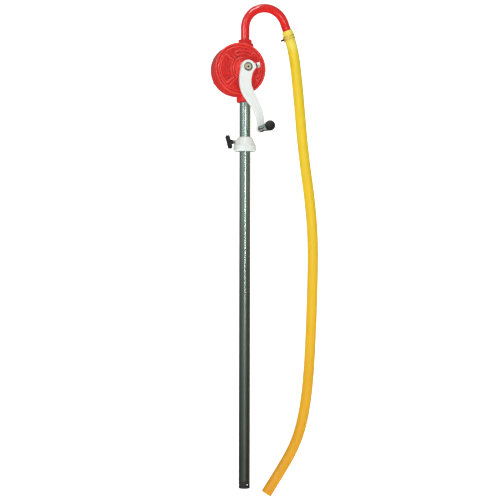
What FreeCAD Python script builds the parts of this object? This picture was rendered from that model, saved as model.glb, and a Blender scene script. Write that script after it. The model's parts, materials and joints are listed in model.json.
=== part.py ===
import FreeCAD
import Part

import math
import os

# Rotary hand transfer pump for a drum, in millimetres.
# +Z is up along the suction tube, the crank is at the front (-Y) and the spout leaves towards +X.
# The origin is on the tube's axis, in the plane where the drum thread of the bung adaptor begins.

Vector = FreeCAD.Vector
X, Y, Z = Vector(1, 0, 0), Vector(0, 1, 0), Vector(0, 0, 1)

RUNNING = 0.05  # radial clearance of a shaft in its bush
GAP = 0.3  # free clearance between pieces that move past each other
HEX_CORNER = 1.11  # a hexagon's rounded corners, as a multiple of half its width across flats

# Suction tube and its foot
TUBE_R, TUBE_WALL = 14.0, 1.5
TUBE_TOP, TUBE_BOTTOM = 131.0, -846.0
FOOT_BOTTOM, FOOT_FLOOR, FOOT_SPIGOT = -865.0, 3.0, 12.0
FOOT_WALL, FOOT_WINDOWS = 2.0, 3
WINDOW_WIDTH, WINDOW_BOTTOM, WINDOW_TOP, WINDOW_TURN = 15.0, -860.5, -853.5, -60.0
SCREEN_LEDGE, SCREEN_DEPTH, SCREEN_THICK = 1.0, 3.0, 1.0
SCREEN_HOLE_R, SCREEN_CIRCLES = 1.2, ((1, 0.0), (6, 4.2), (12, 8.2))

# Bung adaptor
THREAD_R, THREAD_LENGTH, THREAD_LEAD = 29.8, 14.0, 2.0
CONE_FOOT_R, CONE_TOP_R, CONE_HEIGHT = 28.2, 18.2, 22.0
ADAPTOR_BORE_R, ADAPTOR_SKIRT_R, SKIRT_CEILING = 14.4, 24.8, -2.0
SEAL_R, SEAL_BOTTOM, SEAL_TOP = 16.6, 14.0, 18.5

# Lock screw and wing knob, on an axis that leaves the tube to the left
LOCK_TURN, LOCK_Z = 190.0, 8.5
LOCK_BOSS_R, LOCK_BOSS_FACE = 6.4, 28.0
LOCK_R, LOCK_PAD_TIP, LOCK_PAD_END, LOCK_END = 4.0, 14.3, 17.0, 45.0
KNOB_IN, KNOB_OUT, KNOB_NOSE_R, KNOB_HUB_R = 34.5, 47.5, 5.7, 7.0
WING_SPAN, WING_THICK, WING_WIDE, WING_TURN = 38.0, 8.6, 10.5, 32.0
WING_MIDDLE, WING_CORNER, WING_EDGE = 44.5, 2.4, 0.9
WING_GROOVE, WING_GROOVE_DEPTH = 2.8, 1.4
INSERT_R, INSERT_IN = 5.0, 31.5

# Pump casing
CASE_X, CASE_Z, CASE_R = -18.0, 191.5, 65.5
CASE_FRONT, CASE_REAR = -24.0, 22.0
CHAMBER_R, CHAMBER_FRONT = 57.0, -15.0
NECK_R, NECK_BOTTOM = 21.7, 110.0
PORT_R, PORT_TOP, PORT_BORE_R = 21.0, 258.0, 11.0
INLET_BORE_R, INLET_SEAL_R, INLET_SEAL_HEIGHT = 12.0, 16.5, 5.0
COVER_SCREWS, COVER_SCREW_R, COVER_SCREW_CIRCLE, COVER_SCREW_DEPTH = 6, 2.5, 61.25, 11.0
COVER_SCREW_FLATS, COVER_SCREW_HEAD = 8.0, 3.5
GASKET_THICK, COVER_THICK, COVER_ROUND = 0.8, 5.5, 1.5

# Relief on the casing's front face
RIM_FOOT_R, RIM_TOP_R, RIM_HEIGHT, RIM_ROUND = 60.4, 61.6, 1.8, 2.6
INNER_BEAD_R, HUB_BEAD_R, HUB_PAD_R = 55.5, 27.5, 23.5
BEAD, RIB, RELIEF = 1.5, 1.3, 1.3
RIBS = ((131.0, 47.0), (229.0, 59.0))  # angle and outer end of each straight rib
PIP_R, PIP_HEIGHT, PIP_PLACE = 2.8, 1.6, (32.0, -27.0)
ARROW_INNER_R, ARROW_OUTER_R, ARROW_HEAD = 37.0, 40.0, 4.5
ARROW_TAIL, ARROW_NECK, ARROW_TIP = 14.0, -21.0, -31.0
PANEL_EDGE, PANEL_OUTER_R, PANEL_INNER_R = 2.0, 52.0, 33.0
PANEL_ANGLES, LENS_ANGLES = (141.0, 221.0), (60.0, 121.0)
LENS_INNER_R, LENS_OUTER_R = 36.0, 47.5

# Shaft, rotor and vanes
SHAFT_X, SHAFT_R, SHAFT_FRONT, SHAFT_REAR, SHAFT_CHAMFER = -8.0, 8.0, -63.5, 35.0, 1.0
ROTOR_R, ROTOR_FRONT, ROTOR_REAR = 46.7, -14.7, 21.7
VANE_THICK, VANE_TIP, VANE_ROOT, SLOT_ROOT = 6.0, 46.4, 24.5, 21.0
SLOT_SIDE = 0.04
SPRING_HOLE_R, SPRING_HOLE_ROOT, SPRING_Y = 3.4, 11.5, (-5.0, 12.0)
SPRING_COIL_R, SPRING_WIRE_R, SPRING_PITCH = 2.4, 0.5, 2.4
VANE_TIP_ROUND = 2.4
CENTRE_HOLE_R, CENTRE_HOLE_FLOOR_R, CENTRE_HOLE_DEPTH = 2.6, 0.8, 3.5
POCKET_X, POCKET_R, POCKET_DEPTH = 29.0, 9.5, 26.0
KEY_SIZE, KEY_HALF = 5.0, 12.0

# Shaft seal
BUSH_R = 11.0
STUFFING_R, STUFFING_FRONT, STUFFING_BORE_R = 17.0, -37.5, 12.5
GLAND_FRONT, GLAND_SPIGOT_REAR, GLAND_FLATS = -44.0, -33.0, 26.0
REAR_BOSS_R, REAR_BOSS_FACE, REAR_BUSH_FRONT = 16.0, 38.0, 22.3

# Crank
CRANK_BOSS_R, CRANK_FRONT, CRANK_REAR = 17.2, -64.0, -46.0
CRANK_RECESS_R, CRANK_RECESS = 10.9, 3.5
ARM_REAR = -54.0
EYE_X, EYE_Z, EYE_R, EYE_FRONT, EYE_REAR = 24.0, 38.0, 9.5, -66.0, -52.5
ARM_LEFT = [
    (-25.2, 192.0),
    (-29.8, 167.0),
    (-28.0, 140.5),
    (-15.8, 114.0),
    (-0.5, 93.5),
    (11.3, 70.0),
    (14.6, 40.0),
]
ARM_RIGHT = [
    (8.6, 188.0),
    (0.8, 168.0),
    (1.0, 144.0),
    (9.6, 126.5),
    (22.2, 102.5),
    (30.6, 77.5),
    (33.4, 40.0),
]
SET_BOLT_TILT, SET_BOLT_R, SET_LUG_R, SET_LUG_END = 12.0, 4.0, 7.4, 20.5
SET_BOLT_NECK_END, SET_BOLT_HEAD_END, SET_BOLT_FLATS = 24.5, 31.0, 13.0

# Handle on the crank's eye
SPINDLE_R, SPINDLE_HEAD_R, SPINDLE_REACH = 4.0, 6.5, 9.5
WASHER_R, WASHER_THICK, SPINDLE_NUT_FLATS, SPINDLE_NUT_THICK = 8.0, 1.5, 13.0, 6.5
GRIP_INNER, GRIP_OUTER, GRIP_RECESS, GRIP_RECESS_R = -66.3, -155.0, -143.5, 7.5
GRIP_PROFILE = [  # radius, and distance from the grip's inner end
    (9.0, 0.0),
    (9.0, 8.0),
    (8.6, 24.0),
    (10.8, 55.0),
    (12.2, 74.0),
    (11.7, 85.7),
    (9.2, 88.7),
]
SPINDLE_HEAD_OUT, SPINDLE_HEAD_IN = -149.0, -143.8
CAP_OUT, CAP_PLUG, CAP_ROUND = -157.5, -153.5, 2.2

# Gooseneck spout
SPOUT_R, SPOUT_WALL, SPOUT_BOTTOM = 11.0, 2.0, 247.5
SPOUT_BEND_Z, SPOUT_BEND_R, SPOUT_BEND = 298.5, 53.0, 159.0
SPOUT_STRAIGHT, SPOUT_SPIGOT = 22.5, 24.0
LOCK_NUT_FLATS, LOCK_NUT_TOP = 32.0, 267.5
SPOUT_GASKET_R, SPOUT_GASKET_THICK = 15.5, 1.5

# Delivery hose: the points that its centreline turns at, in the plane Y = 0
HOSE_R, HOSE_BORE_R = 13.5, 11.0
HOSE_CORNER_SHARE = 0.45  # the part of a straight run that one rounded corner takes
HOSE_POINTS = [
    (110.5, 296.5),
    (122.0, 266.5),
    (131.5, 222.0),
    (141.0, 140.0),
    (153.5, -5.0),
    (173.5, -140.0),
    (181.5, -240.0),
    (180.5, -350.0),
    (174.5, -520.0),
    (166.0, -632.0),
    (152.0, -710.0),
    (131.0, -768.0),
    (95.0, -827.0),
    (57.5, -882.5),
]

# Hose clamp
CLAMP_WIRE_R, CLAMP_PLACES, CLAMP_LOWEST, CLAMP_HIGHEST = 1.2, (14.0, 21.5), 10.5, 25.0
CLAMP_BLOCK_IN, CLAMP_BLOCK_OUT = 12.2, 20.5
CLAMP_BLOCK_NEAR, CLAMP_BLOCK_FAR = 5.5, 10.0
CLAMP_SCREW_R, CLAMP_SCREW_OUT, CLAMP_SCREW_TIP = 2.5, 17.3, 18.0
CLAMP_SCREW_FLATS, CLAMP_SCREW_HEAD = 7.0, 3.5


def cylinder(radius, start, end, along=Z, at=Vector(0, 0, 0)):
    """A cylinder whose ends lie start and end along the axis from the point at."""
    return Part.makeCylinder(radius, end - start, at + along * start, along)


def ring(outer, inner, start, end, along=Z, at=Vector(0, 0, 0)):
    return cylinder(outer, start, end, along, at).cut(cylinder(inner, start - 1, end + 1, along, at))


def box(low, high):
    low, high = Vector(*low), Vector(*high)
    size = high - low
    return Part.makeBox(size.x, size.y, size.z, low)


def hexagon(flats, start, end, along, at, turn=0.0):
    """A hexagonal prism along the axis, with one corner turned from the axis's own side direction."""
    side = Z if abs(along.z) < 0.9 else X
    side = (side - along * side.dot(along)).normalize()
    across = along.cross(side)
    corners = []
    for step in range(7):
        angle = math.radians(60 * step + turn)
        reach = flats / 2 / math.cos(math.radians(30))
        outward = side * math.cos(angle) + across * math.sin(angle)
        corners.append(at + along * start + outward * reach)
    prism = Part.Face(Part.makePolygon(corners)).extrude(along * (end - start))
    rounding = cylinder(flats / 2 * HEX_CORNER, start, end, along, at)
    return prism.common(rounding)


def union(first, *others):
    return first.multiFuse(list(others)).removeSplitter()


def sector_plate(centre_x, inner, outer, low_angle, high_angle, front, rear):
    """A flat ring sector in an XZ plane; angles in degrees from +X towards +Z."""
    centre = Vector(centre_x, 0, CASE_Z)
    plate = ring(outer, inner, front, rear, Y, centre)
    wedge = [centre + Y * front]
    for angle in (low_angle, (low_angle + high_angle) / 2, high_angle):
        turn = math.radians(angle)
        wedge.append(centre + Y * front + Vector(math.cos(turn), 0, math.sin(turn)) * (outer * 2))
    wedge.append(wedge[0])
    return plate.common(Part.Face(Part.makePolygon(wedge)).extrude(Y * (rear - front)))


def bead(centre_x, radius):
    """A half-round ring that stands on the casing's front face."""
    return Part.makeTorus(radius, BEAD, Vector(centre_x, CASE_FRONT, CASE_Z), Y)


def drum_with_rim():
    """The casing's drum, turned about its own axis, with a raised rim round the front face."""
    rim_front = CASE_FRONT - RIM_HEIGHT
    corners = [
        (0, CASE_FRONT),
        (RIM_FOOT_R, CASE_FRONT),
        (RIM_TOP_R, rim_front),
        (CASE_R, rim_front),
        (CASE_R, CASE_REAR),
        (0, CASE_REAR),
        (0, CASE_FRONT),
    ]
    outline = Part.makePolygon([CASE + Vector(r, y, 0) for r, y in corners])
    drum = Part.Face(outline).revolve(CASE, Y, 360)
    rim_edges = []
    for edge in drum.Edges:
        bounds = edge.BoundBox
        if abs(bounds.YMax - rim_front) < 0.01 and abs(bounds.XMax - CASE_X - CASE_R) < 0.01:
            rim_edges.append(edge)
    return drum.makeFillet(RIM_ROUND, rim_edges)


def tube_along(points, corner_radii, outer, inner):
    """A hose or pipe whose centreline is straight runs joined by tangent arcs; returns solid and length."""
    edges = []
    here = points[0]
    for before, corner, after, radius in zip(points, points[1:], points[2:], corner_radii):
        back = (before - corner).normalize()
        onward = (after - corner).normalize()
        half_turn = (math.pi - back.getAngle(onward)) / 2
        reach = radius * math.tan(half_turn)
        begin, finish = corner + back * reach, corner + onward * reach
        middle_way = (back + onward).normalize()
        middle = corner + middle_way * (radius / math.cos(half_turn) - radius)
        if (begin - here).Length > 0.01:
            edges.append(Part.LineSegment(here, begin).toShape())
        edges.append(Part.Arc(begin, middle, finish).toShape())
        here = finish
    edges.append(Part.LineSegment(here, points[-1]).toShape())
    path = Part.Wire(edges)
    start_way = (points[1] - points[0]).normalize()
    skins = []
    for radius in (outer, inner):
        circle = Part.Wire(Part.Circle(points[0], start_way, radius).toShape())
        skins.append(path.makePipeShell([circle], True, False))
    solid = skins[0].cut(skins[1])
    return solid, path.Length


def case_point(angle, radius, y):
    """A point on a circle about the casing's own axis."""
    turn = math.radians(angle)
    return Vector(CASE_X + radius * math.cos(turn), y, CASE_Z + radius * math.sin(turn))


SHAFT = Vector(SHAFT_X, 0, CASE_Z)
CASE = Vector(CASE_X, 0, CASE_Z)
EYE = Vector(EYE_X, 0, EYE_Z)
LOCK_WAY = Vector(math.cos(math.radians(LOCK_TURN)), math.sin(math.radians(LOCK_TURN)), 0)
LOCK_AT = Vector(0, 0, LOCK_Z)
BOLT_WAY = Vector(math.cos(math.radians(SET_BOLT_TILT)), 0, math.sin(math.radians(SET_BOLT_TILT)))
BOLT_AT = SHAFT + Y * ((CRANK_FRONT + CRANK_REAR) / 2)
COVER_FRONT = CASE_REAR + GASKET_THICK
COVER_REAR = COVER_FRONT + COVER_THICK
COVER_ANGLES = [30 + 360 / COVER_SCREWS * step for step in range(COVER_SCREWS)]

nodes = {}


def build_adaptor():
    """The 2 inch bung adaptor: a hollow thread, a cone above it and a boss for the lock screw."""
    thread = cylinder(THREAD_R, THREAD_LEAD - THREAD_LENGTH, 0)
    lead = Part.makeCone(THREAD_R - THREAD_LEAD, THREAD_R, THREAD_LEAD, Z * -THREAD_LENGTH)
    cone = Part.makeCone(CONE_FOOT_R, CONE_TOP_R, CONE_HEIGHT)
    boss = cylinder(LOCK_BOSS_R, LOCK_PAD_TIP, LOCK_BOSS_FACE, LOCK_WAY, LOCK_AT)
    web = box((LOCK_PAD_TIP, -LOCK_BOSS_R, -2), (LOCK_BOSS_FACE, LOCK_BOSS_R, LOCK_Z))
    web.rotate(Vector(0, 0, 0), Z, LOCK_TURN)
    web = web.common(cylinder(CONE_FOOT_R + 0.2, -3, LOCK_Z))
    body = union(thread, lead, cone, boss, web)
    cavity = cylinder(ADAPTOR_SKIRT_R, -THREAD_LENGTH - 1, SKIRT_CEILING)
    bore = cylinder(ADAPTOR_BORE_R, -THREAD_LENGTH - 1, CONE_HEIGHT + 1)
    groove = cylinder(SEAL_R, SEAL_BOTTOM, SEAL_TOP)
    screw_hole = cylinder(LOCK_R + RUNNING, 0, LOCK_BOSS_FACE + 1, LOCK_WAY, LOCK_AT)
    nodes["bung_adaptor"] = body.cut(cavity).cut(bore).cut(groove).cut(screw_hole)
    nodes["tube_seal_ring"] = ring(
        SEAL_R - RUNNING, TUBE_R + RUNNING, SEAL_BOTTOM + RUNNING, SEAL_TOP - RUNNING
    )


def rounded_bar(wide, span, corner, low, high):
    """A bar with rounded corners, wide across Y and span along Z, between low and high along X."""
    half_wide, half_span = wide / 2, span / 2
    upright = box((low, corner - half_wide, -half_span), (high, half_wide - corner, half_span))
    level = box((low, -half_wide, corner - half_span), (high, half_wide, half_span - corner))
    bar = upright.fuse(level)
    for y in (corner - half_wide, half_wide - corner):
        for z in (corner - half_span, half_span - corner):
            bar = bar.fuse(cylinder(corner, low, high, X, Vector(0, y, z)))
    return bar.removeSplitter()


def build_lock():
    """The lock screw pushes a soft pad against the tube; a wing knob with a metal insert turns it."""
    tube_clear = cylinder(LOCK_PAD_TIP, LOCK_Z - 10, LOCK_Z + 10)
    pad = cylinder(LOCK_R, LOCK_PAD_TIP - 1, LOCK_PAD_END, LOCK_WAY, LOCK_AT)
    nodes["lock_screw_pad"] = pad.cut(tube_clear)
    nodes["lock_screw"] = cylinder(LOCK_R, LOCK_PAD_END, LOCK_END, LOCK_WAY, LOCK_AT)
    insert = hexagon(2 * INSERT_R - 1, KNOB_IN, LOCK_END, LOCK_WAY, LOCK_AT)
    collar = cylinder(INSERT_R, INSERT_IN, KNOB_IN, LOCK_WAY, LOCK_AT)
    shank_hole = cylinder(LOCK_R, LOCK_PAD_END, LOCK_END + 1, LOCK_WAY, LOCK_AT)
    insert = union(insert, collar).cut(shank_hole)
    nodes["wing_knob_insert"] = insert
    hub = Part.makeCone(KNOB_NOSE_R, KNOB_HUB_R, KNOB_OUT - KNOB_IN, LOCK_AT + LOCK_WAY * KNOB_IN, LOCK_WAY)
    wing_in, wing_out = WING_MIDDLE - WING_THICK / 2, WING_MIDDLE + WING_THICK / 2
    wing = rounded_bar(WING_WIDE, WING_SPAN, WING_CORNER, wing_in, wing_out)
    wing = wing.makeFillet(WING_EDGE, wing.Edges)
    groove_in, groove_out = WING_MIDDLE - WING_GROOVE / 2, WING_MIDDLE + WING_GROOVE / 2
    groove = rounded_bar(WING_WIDE + 2, WING_SPAN + 2, WING_CORNER, groove_in, groove_out)
    core_wide, core_span = WING_WIDE - 2 * WING_GROOVE_DEPTH, WING_SPAN - 2 * WING_GROOVE_DEPTH
    core = rounded_bar(core_wide, core_span, WING_CORNER / 2, groove_in - 1, groove_out + 1)
    wing = wing.cut(groove.cut(core))
    wing.rotate(Vector(0, 0, 0), X, WING_TURN)
    wing.rotate(Vector(0, 0, 0), Z, LOCK_TURN)
    wing.translate(LOCK_AT)
    socket = cylinder(LOCK_R, LOCK_PAD_END, LOCK_END, LOCK_WAY, LOCK_AT)
    nodes["wing_knob"] = union(hub, wing).cut(insert).cut(socket)


def build_suction():
    """The suction tube and the foot that keeps its mouth off the drum's floor."""
    nodes["suction_tube"] = ring(TUBE_R, TUBE_R - TUBE_WALL, TUBE_BOTTOM, TUBE_TOP)
    spigot_r = TUBE_R - TUBE_WALL
    foot = union(
        cylinder(TUBE_R, FOOT_BOTTOM, TUBE_BOTTOM), cylinder(spigot_r, TUBE_BOTTOM, TUBE_BOTTOM + FOOT_SPIGOT)
    )
    bore_r = spigot_r - FOOT_WALL
    foot = foot.cut(cylinder(bore_r, FOOT_BOTTOM + FOOT_FLOOR, TUBE_BOTTOM + FOOT_SPIGOT + 1))
    half = WINDOW_WIDTH / 2
    outside = TUBE_R + 1
    for step in range(FOOT_WINDOWS):
        arch = cylinder(half, 0, outside, X, Vector(0, 0, WINDOW_TOP - half))
        window = arch.common(box((0, -half, WINDOW_BOTTOM), (outside, half, WINDOW_TOP)))
        window.rotate(Vector(0, 0, 0), Z, WINDOW_TURN + 360 / FOOT_WINDOWS * step)
        foot = foot.cut(window)
    screen_z = TUBE_BOTTOM + FOOT_SPIGOT - SCREEN_DEPTH
    screen_r = bore_r + SCREEN_LEDGE
    foot = foot.cut(cylinder(screen_r, screen_z, TUBE_BOTTOM + FOOT_SPIGOT + 1))
    nodes["suction_foot"] = foot
    screen = cylinder(screen_r, screen_z, screen_z + SCREEN_THICK)
    holes = []
    for count, circle in SCREEN_CIRCLES:
        for step in range(count):
            angle = 2 * math.pi * step / count
            at = Vector(circle * math.cos(angle), circle * math.sin(angle), 0)
            holes.append(cylinder(SCREEN_HOLE_R, screen_z - 1, screen_z + SCREEN_THICK + 1, Z, at))
    nodes["foot_screen"] = screen.cut(Part.makeCompound(holes))


def framed_sector(outer, inner, angles, edge, limit=None):
    """A shallow raised frame on the front face, round the shaft; limit is an outer edge round the casing."""
    low, high = angles
    front, rear = CASE_FRONT - RELIEF, CASE_FRONT + 1
    trim = math.degrees(edge / inner)
    plate = sector_plate(SHAFT_X, inner, outer, low, high, front, rear)
    opening = sector_plate(SHAFT_X, inner + edge, outer - edge, low + trim, high - trim, front - 1, rear + 1)
    if limit:
        plate = plate.common(cylinder(limit, front - 1, rear + 1, Y, CASE))
        opening = opening.common(cylinder(limit - edge, front - 2, rear + 2, Y, CASE))
    return plate.cut(opening)


def rotation_arrow():
    """A raised arrow on the front face that shows which way to turn the crank."""
    front, rear = CASE_FRONT - RELIEF, CASE_FRONT + 1
    band = sector_plate(SHAFT_X, ARROW_INNER_R, ARROW_OUTER_R, ARROW_NECK - 1, ARROW_TAIL, front, rear)
    middle = (ARROW_INNER_R + ARROW_OUTER_R) / 2
    tip = (ARROW_TIP, middle)
    corners = []
    for angle, radius in (tip, (ARROW_NECK, middle - ARROW_HEAD), (ARROW_NECK, middle + ARROW_HEAD), tip):
        turn = math.radians(angle)
        outward = Vector(math.cos(turn), 0, math.sin(turn))
        corners.append(SHAFT + Y * front + outward * radius)
    head = Part.Face(Part.makePolygon(corners)).extrude(Y * (rear - front))
    return band.fuse(head)


def rib(angle, inner, outer):
    """A straight half-round rib on the front face, radial from the shaft."""
    turn = math.radians(angle)
    way = Vector(math.cos(turn), 0, math.sin(turn))
    return cylinder(RIB, inner, outer, way, SHAFT + Y * CASE_FRONT)


def build_casing():
    """The cast pump casing: an eccentric chamber, the tube's neck, the outlet port and the front relief."""
    drum = drum_with_rim()
    neck = cylinder(NECK_R, NECK_BOTTOM, CASE_Z)
    port = cylinder(PORT_R, CASE_Z, PORT_TOP)
    stuffing = cylinder(STUFFING_R, STUFFING_FRONT, CASE_FRONT + 1, Y, SHAFT)
    pad = cylinder(HUB_PAD_R, CASE_FRONT - RELIEF, CASE_FRONT + 1, Y, SHAFT)
    panel = framed_sector(2 * PANEL_OUTER_R, PANEL_INNER_R, PANEL_ANGLES, PANEL_EDGE, PANEL_OUTER_R)
    lens = framed_sector(LENS_OUTER_R, LENS_INNER_R, LENS_ANGLES, PANEL_EDGE)
    pip_at = SHAFT + X * PIP_PLACE[0] + Z * PIP_PLACE[1]
    pip = cylinder(PIP_R, CASE_FRONT - PIP_HEIGHT, CASE_FRONT + 1, Y, pip_at)
    relief = [stuffing, pad, panel, lens, pip, rotation_arrow()]
    relief += [bead(CASE_X, INNER_BEAD_R), bead(SHAFT_X, HUB_BEAD_R)]
    relief += [rib(angle, HUB_BEAD_R, outer) for angle, outer in RIBS]
    body = union(drum, neck, port, *relief)
    chamber = cylinder(CHAMBER_R, CHAMBER_FRONT, CASE_REAR + 1, Y, CASE)
    tube_socket = cylinder(TUBE_R, NECK_BOTTOM - 1, TUBE_TOP)
    seal_seat = cylinder(INLET_SEAL_R, NECK_BOTTOM - 1, NECK_BOTTOM + INLET_SEAL_HEIGHT)
    inlet = cylinder(INLET_BORE_R, TUBE_TOP - 1, CASE_Z - CHAMBER_R / 2)
    outlet = cylinder(PORT_BORE_R, CASE_Z + CHAMBER_R / 2, PORT_TOP + 1)
    gasket_seat = cylinder(SPOUT_GASKET_R, PORT_TOP - SPOUT_GASKET_THICK, PORT_TOP + 1)
    bush_hole = cylinder(BUSH_R, CASE_FRONT - 1, CHAMBER_FRONT + 1, Y, SHAFT)
    packing_bore = cylinder(STUFFING_BORE_R, STUFFING_FRONT - 1, CASE_FRONT, Y, SHAFT)
    body = body.cut([chamber, tube_socket, seal_seat, inlet, outlet, gasket_seat, bush_hole, packing_bore])
    screw_holes = []
    for angle in COVER_ANGLES:
        at = case_point(angle, COVER_SCREW_CIRCLE, 0)
        screw_holes.append(cylinder(COVER_SCREW_R, CASE_REAR - COVER_SCREW_DEPTH - 1, CASE_REAR + 1, Y, at))
    nodes["pump_casing"] = body.cut(screw_holes)
    nodes["inlet_seal"] = ring(INLET_SEAL_R, TUBE_R, NECK_BOTTOM + 0.5, NECK_BOTTOM + INLET_SEAL_HEIGHT)


def build_rear_cover():
    """The rear cover with its blind bearing boss, its gasket and its screws."""
    gasket = ring(CASE_R, CHAMBER_R, CASE_REAR, COVER_FRONT, Y, CASE)
    cover = cylinder(CASE_R, COVER_FRONT, COVER_REAR, Y, CASE)
    rear_edges = [edge for edge in cover.Edges if abs(edge.BoundBox.YMin - COVER_REAR) < 0.01]
    cover = cover.makeFillet(COVER_ROUND, rear_edges)
    boss = cylinder(REAR_BOSS_R, COVER_REAR - 1, REAR_BOSS_FACE, Y, SHAFT)
    cover = union(cover, boss)
    cover = cover.cut(cylinder(BUSH_R, REAR_BUSH_FRONT - 1, SHAFT_REAR + 0.5, Y, SHAFT))
    screws = []
    for angle in COVER_ANGLES:
        at = case_point(angle, COVER_SCREW_CIRCLE, 0)
        hole = cylinder(COVER_SCREW_R, CASE_REAR - 1, COVER_REAR + 1, Y, at)
        cover = cover.cut(hole)
        gasket = gasket.cut(hole)
        shank = cylinder(COVER_SCREW_R, CASE_REAR - COVER_SCREW_DEPTH, COVER_REAR, Y, at)
        head = hexagon(COVER_SCREW_FLATS, COVER_REAR, COVER_REAR + COVER_SCREW_HEAD, Y, at)
        screws.append(union(shank, head))
    nodes["rear_cover"] = cover
    nodes["rear_cover_gasket"] = gasket
    nodes["rear_cover_screws"] = Part.makeCompound(screws)


def build_shaft_seal():
    """The two shaft bushes, the packing and the gland nut that squeezes it."""
    nodes["front_shaft_bush"] = ring(BUSH_R, SHAFT_R + RUNNING, CASE_FRONT, CHAMBER_FRONT, Y, SHAFT)
    nodes["rear_shaft_bush"] = ring(BUSH_R, SHAFT_R + RUNNING, COVER_FRONT, SHAFT_REAR, Y, SHAFT)
    nodes["shaft_packing"] = ring(STUFFING_BORE_R, SHAFT_R + RUNNING, GLAND_SPIGOT_REAR, CASE_FRONT, Y, SHAFT)
    head = hexagon(GLAND_FLATS, GLAND_FRONT, STUFFING_FRONT, Y, SHAFT, 15)
    spigot = cylinder(STUFFING_BORE_R, STUFFING_FRONT, GLAND_SPIGOT_REAR, Y, SHAFT)
    hole = cylinder(SHAFT_R + GAP, GLAND_FRONT - 1, GLAND_SPIGOT_REAR + 1, Y, SHAFT)
    nodes["gland_nut"] = union(head, spigot).cut(hole)


def build_rotor():
    """Rotor, shaft and key: two opposite slots hold the vanes and the springs behind them."""
    shaft = cylinder(SHAFT_R, SHAFT_FRONT, SHAFT_REAR - GAP, Y, SHAFT)
    front_edges = [edge for edge in shaft.Edges if abs(edge.BoundBox.YMax - SHAFT_FRONT) < 0.01]
    shaft = shaft.makeChamfer(SHAFT_CHAMFER, front_edges)
    hole_at = SHAFT + Y * SHAFT_FRONT
    centre_hole = Part.makeCone(CENTRE_HOLE_R, CENTRE_HOLE_FLOOR_R, CENTRE_HOLE_DEPTH, hole_at, Y)
    key_at = SHAFT + X * SHAFT_R
    key_y = (ROTOR_FRONT + ROTOR_REAR) / 2
    half = KEY_SIZE / 2
    key = box(
        (key_at.x - half, key_y - KEY_HALF, CASE_Z - half), (key_at.x + half, key_y + KEY_HALF, CASE_Z + half)
    )
    nodes["rotor_key"] = key
    nodes["pump_shaft"] = shaft.cut(centre_hole).cut(key)
    rotor = cylinder(ROTOR_R, ROTOR_FRONT, ROTOR_REAR, Y, SHAFT)
    tools = [cylinder(SHAFT_R, ROTOR_FRONT - 1, ROTOR_REAR + 1, Y, SHAFT)]
    tools.append(
        box(
            (key_at.x - 2 * half, ROTOR_FRONT - 1, CASE_Z - half),
            (key_at.x + half, key_y + KEY_HALF, CASE_Z + half),
        )
    )
    half_slot = VANE_THICK / 2 + SLOT_SIDE
    for side in (-1, 1):
        ends = sorted((CASE_Z + side * SLOT_ROOT, CASE_Z + side * (ROTOR_R + 5)))
        low = (SHAFT_X - half_slot, ROTOR_FRONT - 1, ends[0])
        high = (SHAFT_X + half_slot, ROTOR_REAR + 1, ends[1])
        tools.append(box(low, high))
        for y in SPRING_Y:
            tools.append(
                cylinder(SPRING_HOLE_R, SPRING_HOLE_ROOT, SLOT_ROOT + 1, Z * side, SHAFT + Y * y)
            )
        pocket_at = SHAFT + X * (side * POCKET_X)
        tools.append(cylinder(POCKET_R, ROTOR_REAR - POCKET_DEPTH, ROTOR_REAR + 1, Y, pocket_at))
    nodes["rotor"] = rotor.cut(tools)


def build_vane(name, side):
    """A sliding vane with a rounded tip, and its two springs; side is +1 above the shaft, -1 below."""
    ends = sorted((CASE_Z + side * VANE_ROOT, CASE_Z + side * VANE_TIP))
    half = VANE_THICK / 2
    vane = box((SHAFT_X - half, ROTOR_FRONT, ends[0]), (SHAFT_X + half, ROTOR_REAR, ends[1]))
    tip_z = CASE_Z + side * VANE_TIP
    tip_edges = []
    for edge in vane.Edges:
        bounds = edge.BoundBox
        if abs(bounds.ZMin - tip_z) < 0.01 and abs(bounds.ZMax - tip_z) < 0.01 and bounds.YLength > 1:
            tip_edges.append(edge)
    nodes[name + "_vane"] = vane.makeFillet(VANE_TIP_ROUND, tip_edges)
    springs = []
    length = VANE_ROOT - SPRING_HOLE_ROOT
    for y in SPRING_Y:
        wire_inset = SPRING_WIRE_R + 0.05
        helix = Part.makeHelix(SPRING_PITCH, length - 2 * wire_inset, SPRING_COIL_R)
        start = Vector(SPRING_COIL_R, 0, 0)
        section = Part.Wire(Part.Circle(start, Y, SPRING_WIRE_R).toShape())
        coil = helix.makePipeShell([section], True, True)
        coil.translate(Vector(0, 0, wire_inset + SPRING_HOLE_ROOT))
        if side < 0:
            coil.rotate(Vector(0, 0, 0), X, 180)
        coil.translate(SHAFT + Y * y)
        springs.append(coil)
    nodes[name + "_vane_springs"] = Part.makeCompound(springs)


def edge_curve(points, y):
    curve = Part.BSplineCurve()
    curve.interpolate([Vector(x, y, z) for x, z in points])
    return curve.toShape()


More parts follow.
